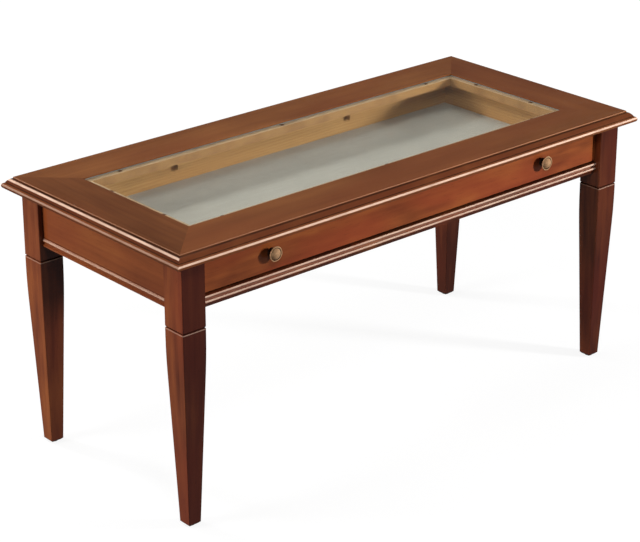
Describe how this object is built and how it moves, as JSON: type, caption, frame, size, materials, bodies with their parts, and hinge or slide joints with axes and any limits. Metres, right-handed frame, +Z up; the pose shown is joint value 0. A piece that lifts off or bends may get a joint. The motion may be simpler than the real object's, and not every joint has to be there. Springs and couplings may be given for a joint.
{
  "type": "display coffee table",
  "caption": "Low wooden display table with a moulded top frame, an inset glass panel over a lined full-width drawer, turned knobs and tapered square legs.",
  "frame": {"origin": "on the floor, under the middle of the table top", "axes": "+Z up, +X along the table's length towards its right end, +Y from the drawer front to the back; the drawer opens towards -Y"},
  "size_m": [1.1, 0.5, 0.51],
  "materials": {
    "stained_top": "satin lacquer over cherry and walnut stain",
    "stained_frame": "satin lacquer over cherry and walnut stain",
    "stained_drawer_front": "satin lacquer over cherry and walnut stain",
    "drawer_wood": "clear satin lacquer",
    "panel_wood": "sanded plywood",
    "frame_softwood": "planed, unfinished",
    "lining_cloth": "pale woven cloth over card",
    "clear_glass": "clear, ground edges",
    "clear_pad": "clear soft pad",
    "screw_steel": "zinc plated",
    "antique_brass": "antiqued, rubbed at the crown",
    "glide_plastic": "moulded"
  },
  "bodies": {
    "table": {"top_rail_front": "stained_top", "top_rail_back": "stained_top", "top_rail_left": "stained_top", "top_rail_right": "stained_top", "mitre_splines": "frame_softwood", "glass_panel": "clear_glass", "glass_pads": "clear_pad", "leg_front_left": "stained_frame", "leg_front_right": "stained_frame", "leg_back_left": "stained_frame", "leg_back_right": "stained_frame", "foot_glide_front_left": "glide_plastic", "foot_glide_front_right": "glide_plastic", "foot_glide_back_left": "glide_plastic", "foot_glide_back_right": "glide_plastic", "apron_left": "stained_frame", "apron_right": "stained_frame", "apron_back": "stained_frame", "front_rail": "stained_frame", "upper_front_rail": "frame_softwood", "back_batten": "frame_softwood", "drawer_runner_left": "frame_softwood", "drawer_runner_right": "frame_softwood", "drawer_guide_left": "frame_softwood", "drawer_guide_right": "frame_softwood", "drawer_kicker_left": "frame_softwood", "drawer_kicker_right": "frame_softwood", "drawer_stop_left": "frame_softwood", "drawer_stop_right": "frame_softwood", "top_fixing_screws": "screw_steel"},
    "drawer": {"drawer_front": "stained_drawer_front", "drawer_side_left": "drawer_wood", "drawer_side_right": "drawer_wood", "drawer_back": "drawer_wood", "drawer_bottom": "panel_wood", "drawer_bottom_brace": "frame_softwood", "drawer_bottom_screws": "screw_steel", "display_lining": "lining_cloth", "drawer_catch_left": "frame_softwood", "drawer_catch_right": "frame_softwood", "knob_left": "antique_brass", "knob_right": "antique_brass", "knob_rose_left": "antique_brass", "knob_rose_right": "antique_brass", "knob_screws": "screw_steel"}
  },
  "joints": [
    {"name": "drawer_slide", "type": "slide", "parent": "table", "child": "drawer", "axis": [0, -1, 0], "range_m": [0, 0.344]}
  ]
}
